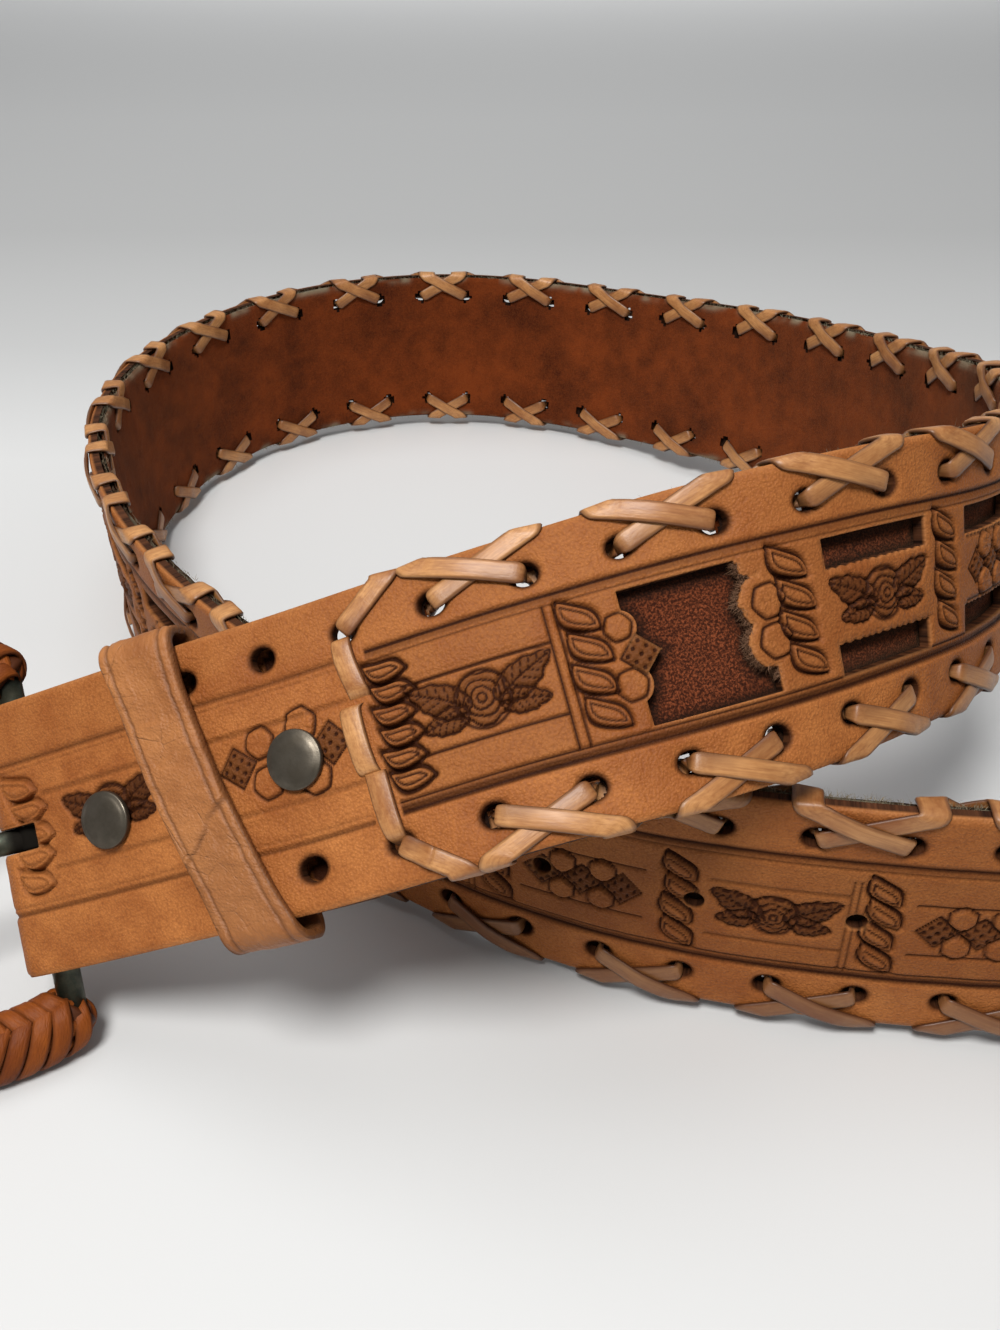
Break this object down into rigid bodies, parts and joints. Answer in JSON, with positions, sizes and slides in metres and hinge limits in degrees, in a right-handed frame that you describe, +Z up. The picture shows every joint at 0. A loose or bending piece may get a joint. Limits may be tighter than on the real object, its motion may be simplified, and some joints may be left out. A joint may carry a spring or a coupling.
{
  "type": "western tooled leather belt",
  "caption": "Western tooled leather belt in a standing loop, with laced edges, cut-out windows and a braided buckle.",
  "frame": {"origin": "centre of the outline seen from above, on the floor that the strap's lower edge and the buckle rest on", "axes": "+Z up, +X to the right and -Y towards the viewer of the stretch with the keeper"},
  "size_m": [0.302, 0.2744, 0.0937],
  "materials": {
    "tooled_leather": "tooled, antiqued brown",
    "suede": "napped suede",
    "lace": "smooth flat lacing",
    "braid": "braided lacing",
    "snap": "dark nickel",
    "buckle_metal": "dark, tarnished"
  },
  "bodies": {
    "belt": {"tooled_strap": "tooled_leather", "suede_lining": "suede", "keeper_loop": "tooled_leather", "cross_lace": "lace", "snap_cap_left": "snap", "snap_cap_right": "snap", "upper_lace_forward": "lace", "upper_lace_return": "lace", "lower_lace_forward": "lace", "lower_lace_return": "lace"},
    "buckle": {"braided_frame": "braid", "buckle_bar": "buckle_metal"},
    "prong": {"buckle_prong": "buckle_metal"}
  },
  "joints": [
    {"name": "buckle_swing", "type": "hinge", "parent": "belt", "child": "buckle", "pos_m": [-0.10556, -0.10331, 0.02721], "axis": [-0.2339, 0.6329, 0.738], "range_deg": [-44, 30]},
    {"name": "prong_swing", "type": "hinge", "parent": "buckle", "child": "prong", "pos_m": [-0.10556, -0.10331, 0.02721], "axis": [-0.2339, 0.6329, 0.738], "range_deg": [0, 42]}
  ]
}
